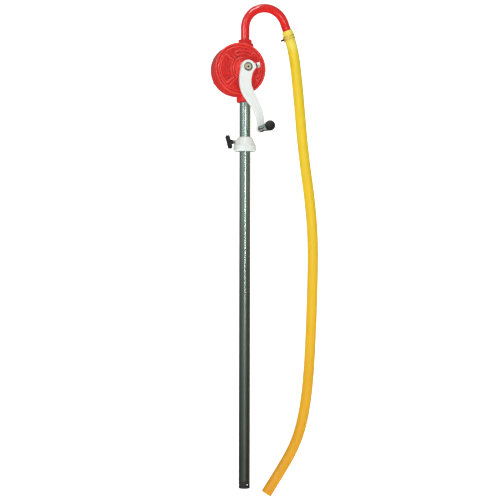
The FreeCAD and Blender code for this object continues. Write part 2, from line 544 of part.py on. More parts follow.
def build_crank():
    """The cast crank arm: a boss clamped on the shaft, an S-shaped arm and an eye for the spindle."""
    left = edge_curve(ARM_LEFT, CRANK_FRONT)
    right = edge_curve(ARM_RIGHT, CRANK_FRONT)
    corners = [Vector(x, CRANK_FRONT, z) for x, z in (ARM_LEFT[0], ARM_RIGHT[0], ARM_LEFT[-1], ARM_RIGHT[-1])]
    top = Part.LineSegment(corners[0], corners[1]).toShape()
    bottom = Part.LineSegment(corners[2], corners[3]).toShape()
    outline = Part.Wire(Part.__sortEdges__([left, bottom, right, top]))
    plate = Part.Face(outline).extrude(Y * (ARM_REAR - CRANK_FRONT))
    boss = cylinder(CRANK_BOSS_R, CRANK_FRONT, CRANK_REAR, Y, SHAFT)
    eye = cylinder(EYE_R, EYE_FRONT, EYE_REAR, Y, EYE)
    lug = cylinder(SET_LUG_R, SHAFT_R + 2, SET_LUG_END, BOLT_WAY, BOLT_AT)
    arm = union(plate, boss, eye, lug)
    shaft_hole = cylinder(SHAFT_R, CRANK_FRONT - 1, CRANK_REAR + 1, Y, SHAFT)
    recess = cylinder(CRANK_RECESS_R, CRANK_FRONT - 1, CRANK_FRONT + CRANK_RECESS, Y, SHAFT)
    spindle_hole = cylinder(SPINDLE_R, EYE_FRONT - 1, EYE_REAR + 1, Y, EYE)
    bolt_hole = cylinder(SET_BOLT_R, 0, SET_LUG_END + 5, BOLT_WAY, BOLT_AT)
    nodes["crank_arm"] = arm.cut([shaft_hole, recess, spindle_hole, bolt_hole])
    shank = cylinder(SET_BOLT_R, SHAFT_R - 1, SET_BOLT_NECK_END, BOLT_WAY, BOLT_AT)
    head = hexagon(SET_BOLT_FLATS, SET_BOLT_NECK_END, SET_BOLT_HEAD_END, BOLT_WAY, BOLT_AT, 30)
    nodes["crank_set_bolt"] = union(shank, head).cut(cylinder(SHAFT_R, -100, 0, Y, SHAFT))


def build_handle():
    """The revolving grip on its spindle."""
    shank = cylinder(SPINDLE_R, SPINDLE_HEAD_IN, EYE_REAR + SPINDLE_REACH, Y, EYE)
    head = cylinder(SPINDLE_HEAD_R, SPINDLE_HEAD_OUT, SPINDLE_HEAD_IN, Y, EYE)
    nodes["handle_spindle"] = union(shank, head)
    washer_rear = EYE_REAR + WASHER_THICK
    nodes["spindle_washer"] = ring(WASHER_R, SPINDLE_R, EYE_REAR, washer_rear, Y, EYE)
    nut_rear = washer_rear + SPINDLE_NUT_THICK
    nut = hexagon(SPINDLE_NUT_FLATS, washer_rear, nut_rear, Y, EYE)
    nodes["spindle_nut"] = nut.cut(cylinder(SPINDLE_R, EYE_REAR, nut_rear + 1, Y, EYE))
    profile = [(radius, GRIP_INNER - distance) for radius, distance in GRIP_PROFILE]
    side = Part.BSplineCurve()
    side.interpolate([EYE + Vector(r, y, 0) for r, y in profile[1:]])
    ends = [EYE + Y * GRIP_OUTER, EYE + Y * GRIP_INNER, EYE + Vector(profile[0][0], GRIP_INNER, 0)]
    outline = Part.Wire(
        [
            side.toShape(),
            Part.LineSegment(EYE + Vector(profile[-1][0], GRIP_OUTER, 0), ends[0]).toShape(),
            Part.LineSegment(ends[0], ends[1]).toShape(),
            Part.LineSegment(ends[1], ends[2]).toShape(),
            Part.LineSegment(ends[2], EYE + Vector(profile[1][0], profile[1][1], 0)).toShape(),
        ]
    )
    grip = Part.Face(outline).revolve(EYE, Y, 360)
    spindle_hole = cylinder(SPINDLE_R + RUNNING, GRIP_OUTER - 1, GRIP_INNER + 1, Y, EYE)
    recess = cylinder(GRIP_RECESS_R, GRIP_OUTER - 1, GRIP_RECESS, Y, EYE)
    nodes["handle_grip"] = grip.cut(spindle_hole).cut(recess)
    plug = cylinder(GRIP_RECESS_R, CAP_PLUG, SPINDLE_HEAD_OUT - GAP, Y, EYE)
    dome = cylinder(GRIP_RECESS_R, CAP_OUT, CAP_PLUG, Y, EYE)
    dome_edges = [edge for edge in dome.Edges if abs(edge.BoundBox.YMax - CAP_OUT) < 0.01]
    nodes["handle_end_cap"] = union(plug, dome.makeFillet(CAP_ROUND, dome_edges))


def spout_end():
    """Where the spout's bend ends, and its direction there."""
    end_turn = math.radians(180 - SPOUT_BEND)
    centre = Vector(SPOUT_BEND_R, 0, SPOUT_BEND_Z)
    at = centre + Vector(math.cos(end_turn), 0, math.sin(end_turn)) * SPOUT_BEND_R
    return at, Vector(math.sin(end_turn), 0, -math.cos(end_turn))


def build_spout():
    """The gooseneck, screwed in the outlet port and held by a hexagonal lock nut."""
    bend_end, way = spout_end()
    bend_start = Vector(0, 0, SPOUT_BEND_Z)
    centre = Vector(SPOUT_BEND_R, 0, SPOUT_BEND_Z)
    half = math.radians(180 - SPOUT_BEND / 2)
    middle = centre + Vector(math.cos(half), 0, math.sin(half)) * SPOUT_BEND_R
    tip = bend_end + way * (SPOUT_STRAIGHT + SPOUT_SPIGOT)
    bottom = Vector(0, 0, SPOUT_BOTTOM)
    path = Part.Wire(
        [
            Part.LineSegment(bottom, bend_start).toShape(),
            Part.Arc(bend_start, middle, bend_end).toShape(),
            Part.LineSegment(bend_end, tip).toShape(),
        ]
    )
    skins = []
    for radius in (SPOUT_R, SPOUT_R - SPOUT_WALL):
        circle = Part.Wire(Part.Circle(bottom, Z, radius).toShape())
        skins.append(path.makePipeShell([circle], True, False))
    nodes["gooseneck_spout"] = skins[0].cut(skins[1])
    nut = hexagon(LOCK_NUT_FLATS, PORT_TOP, LOCK_NUT_TOP, Z, Vector(0, 0, 0), 8)
    nodes["spout_lock_nut"] = nut.cut(cylinder(SPOUT_R, PORT_TOP - 1, LOCK_NUT_TOP + 1))
    nodes["spout_gasket"] = ring(SPOUT_GASKET_R, SPOUT_R, PORT_TOP - SPOUT_GASKET_THICK, PORT_TOP)


def build_hose():
    """The delivery hose, as a plain tube along its hanging route."""
    points = [Vector(x, 0, z) for x, z in HOSE_POINTS]
    radii = []
    for before, corner, after in zip(points, points[1:], points[2:]):
        turn = math.pi - (before - corner).getAngle(after - corner)
        shorter = min((before - corner).Length, (after - corner).Length)
        radii.append(HOSE_CORNER_SHARE * shorter / math.tan(turn / 2))
    hose, length = tube_along(points, radii, HOSE_R, HOSE_BORE_R)
    section = math.pi * (HOSE_R**2 - HOSE_BORE_R**2)
    print("hose corner radii", [round(radius) for radius in radii])
    print("hose length", round(length, 1))
    print("volume over section times length", round(hose.Volume / section / length, 5))
    nodes["delivery_hose"] = hose


def build_clamp():
    """A double-wire hose clamp; its screw lies across the rear of the hose, with its tip to the left."""
    bend_end, way = spout_end()
    hose_top = bend_end + way * SPOUT_STRAIGHT
    left = Y.cross(way)
    middle = hose_top + way * ((CLAMP_PLACES[0] + CLAMP_PLACES[1]) / 2)
    wire_circle = HOSE_R + CLAMP_WIRE_R
    frame = FreeCAD.Matrix(left.x, 0, way.x, 0, left.y, 1, way.y, 0, left.z, 0, way.z, 0, 0, 0, 0, 1)
    reach = (CLAMP_HIGHEST - CLAMP_LOWEST) / 2
    wires = []
    for place in CLAMP_PLACES:
        offset = place - (CLAMP_PLACES[0] + CLAMP_PLACES[1]) / 2
        loop = Part.makeTorus(wire_circle, CLAMP_WIRE_R, Vector(0, 0, offset), Z)
        half_gap = CLAMP_BLOCK_NEAR + CLAMP_WIRE_R / 2
        gap = box((-half_gap, 0, offset - 2), (half_gap, wire_circle + 5, offset + 2))
        wires.append(loop.cut(gap))
    bridge = box((-CLAMP_BLOCK_FAR, CLAMP_BLOCK_IN, -reach), (-CLAMP_BLOCK_NEAR, CLAMP_BLOCK_OUT, reach))
    nut = box((CLAMP_BLOCK_NEAR, CLAMP_BLOCK_IN, -reach), (CLAMP_BLOCK_FAR, CLAMP_BLOCK_OUT, reach))
    hose_room = cylinder(HOSE_R, -reach - 1, reach + 1)
    screw_at = Vector(0, CLAMP_SCREW_OUT, 0)
    screw_hole = cylinder(CLAMP_SCREW_R, -30, 30, X, screw_at)
    clamp = union(wires[0], wires[1], bridge).cut(hose_room).cut(screw_hole)
    nut = nut.cut(hose_room).cut(screw_hole).cut(clamp)
    shank = cylinder(CLAMP_SCREW_R, -CLAMP_BLOCK_FAR, CLAMP_SCREW_TIP, X, screw_at)
    head = hexagon(CLAMP_SCREW_FLATS, -CLAMP_BLOCK_FAR - CLAMP_SCREW_HEAD, -CLAMP_BLOCK_FAR, X, screw_at)
    screw = union(shank, head)
    for name, piece in (("hose_clamp", clamp), ("hose_clamp_nut", nut), ("hose_clamp_screw", screw)):
        piece = piece.copy()
        piece.transformShape(frame)
        piece.translate(middle)
        nodes[name] = piece


def main():
    build_adaptor()
    build_lock()
    build_suction()
    build_casing()
    build_rear_cover()
    build_shaft_seal()
    build_rotor()
    build_vane("upper", 1)
    build_vane("lower", -1)
    build_crank()
    build_handle()
    build_spout()
    build_hose()
    build_clamp()
    os.makedirs("parts", exist_ok=True)
    for name, shape in nodes.items():
        if not shape.isValid():
            print("not valid:", name)
        shape.exportStep(os.path.join("parts", name + ".step"))
        print(name, len(shape.Solids), round(shape.Volume / 1000, 2), "cm3")


main()
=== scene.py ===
import json
import math

import bmesh
import bpy
import numpy as np
from mathutils import Matrix, Vector


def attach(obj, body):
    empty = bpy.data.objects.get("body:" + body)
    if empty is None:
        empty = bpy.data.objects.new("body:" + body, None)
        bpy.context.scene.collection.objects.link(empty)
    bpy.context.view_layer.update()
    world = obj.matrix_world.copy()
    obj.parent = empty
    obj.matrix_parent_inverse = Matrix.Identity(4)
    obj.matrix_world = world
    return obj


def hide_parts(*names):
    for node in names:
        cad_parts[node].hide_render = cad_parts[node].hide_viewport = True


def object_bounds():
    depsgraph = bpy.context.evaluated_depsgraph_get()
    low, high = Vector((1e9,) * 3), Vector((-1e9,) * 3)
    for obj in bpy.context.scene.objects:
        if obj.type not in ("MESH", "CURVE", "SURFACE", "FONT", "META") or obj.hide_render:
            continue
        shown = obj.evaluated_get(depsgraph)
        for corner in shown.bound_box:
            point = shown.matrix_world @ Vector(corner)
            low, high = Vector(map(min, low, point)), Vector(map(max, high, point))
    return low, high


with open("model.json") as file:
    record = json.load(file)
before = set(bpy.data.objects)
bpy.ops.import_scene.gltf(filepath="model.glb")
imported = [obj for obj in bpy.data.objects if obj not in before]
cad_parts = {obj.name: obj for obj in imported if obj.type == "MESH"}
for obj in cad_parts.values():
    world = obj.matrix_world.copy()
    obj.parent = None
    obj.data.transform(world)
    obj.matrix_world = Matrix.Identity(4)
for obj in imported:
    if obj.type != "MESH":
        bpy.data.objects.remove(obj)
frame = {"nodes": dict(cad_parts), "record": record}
cad_low, cad_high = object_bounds()

NODES = frame["nodes"]
MM = 0.001

# ---------------------------------------------------------------- camera

CAMERA_AZIMUTH = math.radians(-15.0)
CAMERA_DISTANCE = 3.0
FRAME_WIDTH = 1.265
SENSOR = 36.0
CLIP_END = 30
TARGET_Z = -0.2631
TARGET_RIGHT = 0.0134
CAMERA_ROLL = math.radians(0.12)

toward_camera = Vector((math.sin(CAMERA_AZIMUTH), -math.cos(CAMERA_AZIMUTH), 0))
camera_right = Vector((math.cos(CAMERA_AZIMUTH), math.sin(CAMERA_AZIMUTH), 0))
target = camera_right * TARGET_RIGHT + Vector((0, 0, TARGET_Z))

# The world's brightness by direction, as (place from straight down to straight up, level), with a little
# less of its blue, and how it changes from the pump's left to its right and from behind it to its front.
WORLD_LEVELS = [(0.36, 0.20), (0.44, 0.07), (0.49, 0.30), (0.52, 0.46), (0.75, 0.62), (1.0, 0.80)]
WORLD_BLUE = 0.99
WORLD_LEFT, WORLD_RIGHT = 1.0, 0.62
WORLD_BACK, WORLD_FRONT = 0.30, 1.0

LIGHT_AIM_Z = 0.15

FLOOR_GAP = 0.002
FLOOR_WIDTH, FLOOR_NEAR, FLOOR_FAR, FLOOR_RISE = 12.0, 6.0, 5.0, 5.0
FLOOR_BEND, FLOOR_BEND_STEPS = 1.5, 9
FLOOR_TONE, FLOOR_GLOW = 0.85, 0.8


def add_camera():
    """A long lens, level with its target and rolled a little."""
    data = bpy.data.cameras.new("camera")
    data.sensor_width = SENSOR
    data.lens = SENSOR * CAMERA_DISTANCE / FRAME_WIDTH
    data.clip_end = CLIP_END
    camera = bpy.data.objects.new("camera", data)
    bpy.context.scene.collection.objects.link(camera)
    camera.location = target + toward_camera * CAMERA_DISTANCE
    look = (-toward_camera).to_track_quat("-Z", "Y").to_matrix().to_4x4()
    camera.matrix_world = Matrix.Translation(camera.location) @ look @ Matrix.Rotation(CAMERA_ROLL, 4, "Z")
    bpy.context.scene.camera = camera


def polar(azimuth, distance, height):
    """A point round the pump: azimuth in degrees right of the camera, as the camera sees it."""
    turn = math.radians(azimuth)
    way = toward_camera * math.cos(turn) + camera_right * math.sin(turn)
    return way * distance + Vector((0, 0, height))


def add_area_light(name, place, aim, size, power, only_gloss=False):
    """A rectangular lamp; one that is only for gloss shows as a highlight and lights nothing else."""
    data = bpy.data.lights.new(name, "AREA")
    data.shape = "RECTANGLE"
    data.size, data.size_y = size
    data.energy = power
    lamp = bpy.data.objects.new(name, data)
    lamp.visible_diffuse = not only_gloss
    bpy.context.scene.collection.objects.link(lamp)
    lamp.location = place
    lamp.rotation_euler = (aim - place).to_track_quat("-Z", "Y").to_euler()


class Graph:
    """Adds nodes to one node tree and links them; place is where each point lies, in the named space."""

    def __init__(self, tree, space):
        self.tree = tree
        self.place = self.add("TexCoord").outputs[space]

    def add(self, kind, **values):
        """A new node, with the input sockets named (underscores for spaces) set to the values."""
        node = self.tree.nodes.new("ShaderNode" + kind)
        for name, value in values.items():
            node.inputs[name.replace("_", " ")].default_value = value
        return node

    def link(self, source, target):
        self.tree.links.new(source, target)

    def ramp(self, source, stops):
        """A colour at each (place, colour) stop, and blends of them between."""
        node = self.add("ValToRGB")
        elements = node.color_ramp.elements
        while len(elements) < len(stops):
            elements.new(0.5)
        for element, (place, value) in zip(elements, stops):
            element.position = place
            element.color = value if len(value) == 4 else (*value, 1)
        self.link(source, node.inputs["Fac"])
        return node.outputs["Color"]

    def span(self, source, low, high, to_low, to_high):
        """The source's values from low to high, moved to run from to_low to to_high."""
        node = self.add("MapRange", From_Min=low, From_Max=high, To_Min=to_low, To_Max=to_high)
        self.link(source, node.inputs["Value"])
        return node.outputs["Result"]

    def axis(self, name):
        """Each point's X, Y or Z."""
        node = self.add("SeparateXYZ")
        self.link(self.place, node.inputs["Vector"])
        return node.outputs[name]

    def vector(self, operation, first, second=None):
        """A vector sum whose second term, if it has one, is a constant."""
        node = self.add("VectorMath")
        node.operation = operation
        self.link(first, node.inputs[0])
        if second is not None:
            node.inputs[1].default_value = second
        return node.outputs

    def both(self, first, second):
        """Two masks or factors multiplied."""
        node = self.add("Math")
        node.operation = "MULTIPLY"
        self.link(first, node.inputs[0])
        self.link(second, node.inputs[1])
        return node.outputs["Value"]


def add_world():
    """Soft light: bright above, dim below the pump, dimmer on its right and dimmest behind it.

    The world itself shows as plain white past the floor's edge, whatever the light is there.
    """
    world = bpy.data.worlds.new("studio")
    bpy.context.scene.world = world
    world.use_nodes = True
    graph = Graph(world.node_tree, "Generated")
    levels = [(place, (level, level, level * WORLD_BLUE)) for place, level in WORLD_LEVELS]
    by_height = graph.ramp(graph.span(graph.axis("Z"), -1, 1, 0, 1), levels)
    sideways = graph.span(graph.axis("X"), -1, 1, WORLD_LEFT, WORLD_RIGHT)
    facing = graph.vector("DOT_PRODUCT", graph.place, toward_camera)["Value"]
    front = graph.span(facing, -1, 1, WORLD_BACK, WORLD_FRONT)
    background = world.node_tree.nodes["Background"]
    graph.link(by_height, background.inputs["Color"])
    graph.link(graph.both(sideways, front), background.inputs["Strength"])
    seen_directly = graph.add("LightPath").outputs["Is Camera Ray"]
    white = graph.add("Background", Color=(1, 1, 1, 1))
    choose = graph.add("MixShader")
    graph.link(seen_directly, choose.inputs["Fac"])
    graph.link(background.outputs["Background"], choose.inputs[1])
    graph.link(white.outputs["Background"], choose.inputs[2])
    graph.link(choose.outputs["Shader"], world.node_tree.nodes["World Output"].inputs["Surface"])


def add_lights():
    """The world, four lamps that light the pump and two that only make highlights."""
    add_world()
    head = Vector((0, 0, LIGHT_AIM_Z))
    upper, lower, high = (Vector((0, 0, z)) for z in (0.3, -0.85, 0.92))
    above_front = toward_camera * 1.1 + Vector((0, 0, 1.7))
    # name, place, aim, (width, height) in metres, power in watts
    add_area_light("key_strip", polar(8, 2.0, 0.3), upper, (0.1, 1.5), 8)
    add_area_light("window", polar(-38, 2.4, 1.1), head, (0.35, 1.3), 10)
    add_area_light("low_front", polar(2, 2.4, -0.85), lower, (0.5, 0.9), 2.5)
    add_area_light("top", Vector((0, 0, 2.2)), head, (0.6, 0.6), 6)
    add_area_light("gloss_left", polar(-36, 2.4, 0.92), high, (0.3, 0.45), 10, only_gloss=True)
    add_area_light("gloss_top", above_front, head, (0.9, 0.25), 16, only_gloss=True)


def floor_mesh():
    """A strip that lies level under the pump, bends and stands up behind it."""
    outline = [(-FLOOR_NEAR, 0.0), (FLOOR_FAR - FLOOR_BEND, 0.0)]
    for step in range(1, FLOOR_BEND_STEPS + 1):
        angle = math.radians(90 * step / FLOOR_BEND_STEPS)
        back = FLOOR_FAR - FLOOR_BEND + FLOOR_BEND * math.sin(angle)
        outline.append((back, FLOOR_BEND - FLOOR_BEND * math.cos(angle)))
    outline.append((FLOOR_FAR, FLOOR_RISE))
    bm = bmesh.new()
    rows = []
    for back, up in outline:
        base = -toward_camera * back + Vector((0, 0, cad_low.z - FLOOR_GAP + up))
        sides = (-FLOOR_WIDTH / 2, FLOOR_WIDTH / 2)
        rows.append([bm.verts.new(base + camera_right * side) for side in sides])
    for low, high in zip(rows, rows[1:]):
        bm.faces.new((low[0], low[1], high[1], high[0]))
    return mesh_from(bm, "floor")


def add_floor():
    """A plain pale floor just under the hose's end, which glows a little and casts no shadow."""
    floor = bpy.data.objects.new("floor", floor_mesh())
    bpy.context.scene.collection.objects.link(floor)
    floor.visible_glossy = False
    floor.visible_shadow = False
    paper = Shade("floor_paper")
    paper.set(Base_Color=(FLOOR_TONE, FLOOR_TONE, FLOOR_TONE, 1), Roughness=0.9, Specular_IOR_Level=0.0)
    paper.set(Emission_Color=(1, 1, 1, 1), Emission_Strength=FLOOR_GLOW)
    floor.data.materials.append(paper.material)


def mesh_from(bm, name):
    """The finished, smooth shaded mesh of a bmesh."""
    mesh = bpy.data.meshes.new(name)
    bm.to_mesh(mesh)
    bm.free()
    shade_smooth(mesh)
    return mesh


def shade_smooth(mesh):
    for face in mesh.polygons:
        face.use_smooth = True


# ---------------------------------------------------------------- materials


SHAFT_END = (-0.008, -0.055, 0.1915)
SET_BOLT_TILT = 12.0

# Where one finish, painted highlight or painted shade gives way to the next, as (from, to) in metres: Y, a
# radius, or a reach from SHAFT_END.
CASTING_FRONT_Y = (-0.0235, -0.0220)
RELIEF_HIGHLIGHT_Y = (-0.0252, -0.0243)
COUNTERBORE_SHADE_R = (0.0109, 0.0113)
CRANK_FRONT_Y = (-0.0640, -0.0636)
CENTRE_HOLE_SHADE_R = (0.0024, 0.0028)
BOLT_HEAD_REACH = (0.0243, 0.0245)
TUBE_POLISH_Z = (-0.5, -0.3)

NOISE_USUAL = (0.3, 0.7)
PATCH_EDGES = (0.35, 0.65)


class Shade(Graph):
    """The node tree of one procedural material, with its shader."""

    def __init__(self, name):
        self.material = bpy.data.materials.new(name)
        self.material.use_nodes = True
        super().__init__(self.material.node_tree, "Object")
        self.shader = self.tree.nodes["Principled BSDF"]

    def set(self, **values):
        """Sets the shader's own sockets to values that are the same all over the surface."""
        for key, value in values.items():
            self.shader.inputs[key.replace("_", " ")].default_value = value
        return self

    def noise(self, scale, detail=3.0, stretch=(1, 1, 1), rough=0.5):
        """Noise in the object's own space, finer along an axis with a larger stretch."""
        mapping = self.add("Mapping", Scale=stretch)
        self.link(self.place, mapping.inputs["Vector"])
        node = self.add("TexNoise", Scale=scale, Detail=detail, Roughness=rough)
        self.link(mapping.outputs["Vector"], node.inputs["Vector"])
        return node.outputs["Fac"]

    def vary(self, noise, low, high):
        """The noise's usual values, moved to run from low to high."""
        return self.span(noise, *NOISE_USUAL, low, high)

    def patches(self, noise, first, second, edges=PATCH_EDGES):
        """The first colour where the noise is low and the second where it is high."""
        return self.ramp(noise, [(edges[0], first), (edges[1], second)])

    def along(self, way, origin):
        """How far each point lies from the origin, in metres, in the direction way."""
        return self.vector("DOT_PRODUCT", self.vector("SUBTRACT", self.place, origin)["Vector"], way)["Value"]

    def round_y(self, origin):
        """How far each point lies from the line through the origin along Y, in metres."""
        flat = self.vector("MULTIPLY", self.vector("SUBTRACT", self.place, origin)["Vector"], (1, 0, 1))
        return self.vector("LENGTH", flat["Vector"])["Value"]

    def mix(self, fac, first, second, blend="MIX"):
        """Two colours mixed; each argument is a constant or another node's output."""
        node = self.add("Mix")
        node.data_type = "RGBA"
        node.blend_type = blend
        for socket, value in ((node.inputs[0], fac), (node.inputs[6], first), (node.inputs[7], second)):
            if isinstance(value, (float, tuple)):
                socket.default_value = value
            else:
                self.link(value, socket)
        return node.outputs[2]

    def colour(self, source):
        self.link(source, self.shader.inputs["Base Color"])

    def roughness(self, source):
        self.link(source, self.shader.inputs["Roughness"])

    def bump(self, *layers):
        """Each layer is (height source, height in metres)."""
        normal = None
        for source, distance in layers:
            node = self.add("Bump", Strength=1.0, Distance=distance)
            self.link(source, node.inputs["Height"])
            if normal is not None:
                self.link(normal, node.inputs["Normal"])
            normal = node.outputs["Normal"]
        self.link(normal, self.shader.inputs["Normal"])


def linear(red, green, blue):
    """A colour given as 0-255 screen values, as the shader's linear values."""
    out = []
    for value in (red, green, blue):
        share = value / 255
        out.append(share / 12.92 if share <= 0.04045 else ((share + 0.055) / 1.055) ** 2.4)
    return (*out, 1)


def cast_enamel():
    """Red paint over a sand casting, with its grain showing through, coarsest on the front face; the ribs and
    rims standing up from that face are painted lighter, as a painted highlight.
    """
    base, deep, relief_highlight = linear(232, 28, 22), linear(218, 22, 18), linear(240, 58, 48)
    s = Shade("red_paint").set(Coat_Weight=0.6, Coat_Roughness=0.16, Specular_IOR_Level=0.2)
    coarse = s.noise(170, 3, rough=0.6)
    fine = s.noise(260, 5, rough=0.65)
    on_front = s.span(s.axis("Y"), *CASTING_FRONT_Y, 1, 0)
    # Painted highlight: the ribs and rims standing up from the front face are painted lighter than the face
    # round them.
    raised_highlight = s.span(s.axis("Y"), *RELIEF_HIGHLIGHT_Y, 1, 0)
    patches = s.patches(s.noise(28, 4), deep, base)
    pits = s.ramp(coarse, [(0.38, (0.6, 0.5, 0.5)), (0.58, (1, 1, 1))])
    field = s.mix(1.0, patches, pits, "MULTIPLY")
    s.colour(s.mix(on_front, patches, s.mix(raised_highlight, field, relief_highlight)))
    s.roughness(s.vary(s.noise(90, 3), 0.4, 0.55))
    s.bump((s.both(coarse, on_front), 0.0016), (fine, 0.0004), (s.noise(900, 3), 0.00005))
    return s.material


def tube_enamel():
    """Red gloss enamel over bent steel tube."""
    base, deep = linear(228, 26, 20), linear(216, 20, 16)
    s = Shade("spout_paint").set(Coat_Weight=1.0, Coat_Roughness=0.05, Specular_IOR_Level=0.2)
    s.colour(s.patches(s.noise(28, 4), deep, base))
    s.roughness(s.vary(s.noise(90, 3), 0.3, 0.42))
    s.bump((s.noise(120, 3), 0.00004), (s.noise(700, 3), 0.000006))
    return s.material


def powder_coat(name, base, deep):
    """A lightly grained paint's Shade, and its tone for the caller to use as the colour."""
    s = Shade(name).set(Coat_Weight=0.1, Coat_Roughness=0.25, Specular_IOR_Level=0.4)
    tone = s.patches(s.noise(22, 4), deep, base)
    s.roughness(s.vary(s.noise(120, 3), 0.38, 0.52))
    s.bump((s.noise(240, 4), 0.0003), (s.noise(1500, 2), 0.00002))
    return s, tone


def adaptor_paint():
    """White paint all over."""
    s, tone = powder_coat("adaptor_paint", linear(238, 243, 239), linear(228, 235, 230))
    s.colour(tone)
    return s.material


def crank_paint():
    """White paint, with painted shade: the counterbore round the shaft's end is painted dark."""
    s, tone = powder_coat("crank_paint", linear(237, 241, 238), linear(229, 235, 231))
    # Painted shade: dark paint in the counterbore round the shaft's end, where shade falls.
    bore_shade = s.span(s.round_y(SHAFT_END), *COUNTERBORE_SHADE_R, 1, 0)
    behind_front = s.span(s.axis("Y"), *CRANK_FRONT_Y, 0, 1)
    s.colour(s.mix(s.both(bore_shade, behind_front), tone, linear(112, 112, 96)))
    return s.material


def shaft_steel():
    """Turned steel, with painted shade: the centre hole at its front end is painted dark."""
    s = Shade("shaft_steel").set(Metallic=1.0)
    bright = s.patches(s.noise(60, 4), linear(222, 208, 178), linear(240, 228, 200), NOISE_USUAL)
    # Painted shade: the centre hole at the shaft's front end is painted dark.
    hole_shade = s.span(s.round_y(SHAFT_END), *CENTRE_HOLE_SHADE_R, 1, 0)
    s.colour(s.mix(hole_shade, bright, linear(40, 36, 30)))
    turned = s.noise(900, 3)
    s.roughness(s.vary(turned, 0.36, 0.5))
    s.bump((turned, 0.00002))
    return s.material


def set_bolt():
    """A zinc plated head; the shank is painted dark, as painted shade between the head and the crank arm."""
    s = Shade("set_bolt").set(Metallic=0.5)
    turn = math.radians(SET_BOLT_TILT)
    # Painted shade: the shank below the head is painted dark.
    is_head = s.span(s.along((math.cos(turn), 0, math.sin(turn)), SHAFT_END), *BOLT_HEAD_REACH, 0, 1)
    zinc = s.patches(s.noise(200, 3), linear(228, 229, 226), linear(246, 246, 244), NOISE_USUAL)
    s.colour(s.mix(is_head, linear(40, 38, 34), zinc))
    s.roughness(s.span(is_head, 0, 1, 0.45, 0.3))
    s.bump((s.noise(700, 3), 0.00002))
    return s.material


def tube_finish():
    """Drawn and oiled steel tube with faint lines along it; painted light and shade give it a lighter cool
    tone above and a darker duller one below.
    """
    s = Shade("tube_steel").set(Metallic=1.0)
    height = s.axis("Z")
    # Painted light and shade: the tube's colour is lighter towards the top and darker towards the bottom.
    tone = s.ramp(
        s.span(height, -0.85, 0.15, 0, 1),
        [
            (0.0, linear(120, 130, 120)),
            (0.4, linear(140, 154, 144)),
            (0.7, linear(184, 204, 194)),
            (1.0, linear(182, 206, 200)),
        ],
    )
    streaks = s.patches(s.noise(12, 5, (9, 9, 1)), (0.84, 0.84, 0.82), (1, 1, 1), NOISE_USUAL)
    s.colour(s.mix(1.0, tone, streaks, "MULTIPLY"))
    polish = s.span(height, *TUBE_POLISH_Z, 0.40, 0.2)
    s.roughness(s.both(polish, s.vary(s.noise(60, 5, (12, 12, 0.35)), 0.97, 1.04)))
    return s.material


def hose_finish():
    """Soft yellow PVC: a little light comes through it, and it is deeper in colour towards its end."""
    s = Shade("hose_yellow").set(Subsurface_Weight=0.25, Subsurface_Scale=0.006, Specular_IOR_Level=0.4)
    s.set(Subsurface_Radius=(1.0, 0.6, 0.2), Coat_Weight=0.15, Coat_Roughness=0.2)
    tone = s.ramp(
        s.span(s.axis("Z"), -0.88, 0.29, 0, 1),
        [
            (0.0, linear(232, 162, 12)),
            (0.4, linear(242, 192, 30)),
            (0.9, linear(244, 212, 34)),
            (0.955, linear(245, 214, 36)),
            (0.97, linear(250, 228, 86)),
        ],
    )
    mottled = s.patches(s.noise(18, 4, (1, 1, 0.4)), (0.93, 0.92, 0.85), (1, 1, 1), NOISE_USUAL)
    s.colour(s.mix(1.0, tone, mottled, "MULTIPLY"))
    s.roughness(s.vary(s.noise(70, 3), 0.3, 0.44))
    s.bump((s.noise(25, 3, (1, 1, 0.25)), 0.0003), (s.noise(350, 3), 0.00003))
    return s.material


def metal(name, base, deep, rough, metallic):
    """A plated, cast or drawn metal with a fine grain."""
    s = Shade(name).set(Metallic=metallic)
    s.colour(s.patches(s.noise(40, 4), deep, base))
    grain = s.noise(300, 4)
    s.roughness(s.vary(grain, rough * 0.8, rough * 1.25))
    s.bump((grain, 0.00002))
    return s.material


def moulded(name, base, rough, coat):
    """A moulded plastic, rubber or fibre, a little lighter in patches."""
    s = Shade(name).set(Coat_Weight=coat, Coat_Roughness=0.06, Specular_IOR_Level=0.3)
    lighter = tuple(min(1, channel * 1.25 + 0.004) for channel in base[:3])
    s.colour(s.patches(s.noise(60, 3), base, lighter, NOISE_USUAL))
    s.roughness(s.vary(s.noise(200, 3), rough * 0.85, rough * 1.2))
    s.bump((s.noise(900, 2), 0.00002))
    return s.material


METALS = {
    # slot: (colour, deeper colour, roughness, metallic)
    "zinc_screw": (linear(205, 206, 200), linear(180, 181, 176), 0.25, 1.0),
    "dark_screw": (linear(90, 86, 76), linear(60, 58, 50), 0.35, 1.0),
    "gold_zinc": (linear(244, 222, 140), linear(232, 204, 112), 0.35, 0.7),
    "bronze": (linear(200, 150, 84), linear(170, 120, 62), 0.35, 1.0),
    "grey_iron": (linear(130, 130, 132), linear(105, 105, 107), 0.5, 1.0),
    "spring_steel": (linear(140, 140, 140), linear(110, 110, 110), 0.3, 1.0),
}

MOULDINGS = {
    # slot: (colour, roughness, coat)
    "black_plastic": ((0.006, 0.006, 0.006, 1), 0.14, 1.0),
    "knob_plastic": ((0.008, 0.008, 0.008, 1), 0.42, 0.05),
    "foot_plastic": ((0.02, 0.023, 0.02, 1), 0.5, 0.0),
    "nylon": (linear(226, 218, 190), 0.45, 0.0),
    "vane_plastic": ((0.06, 0.06, 0.065, 1), 0.55, 0.0),
    "packing": ((0.08, 0.08, 0.07, 1), 0.7, 0.0),
    "seal_rubber": ((0.015, 0.015, 0.015, 1), 0.6, 0.0),
    "gasket_fibre": (linear(120, 104, 80), 0.8, 0.0),
}


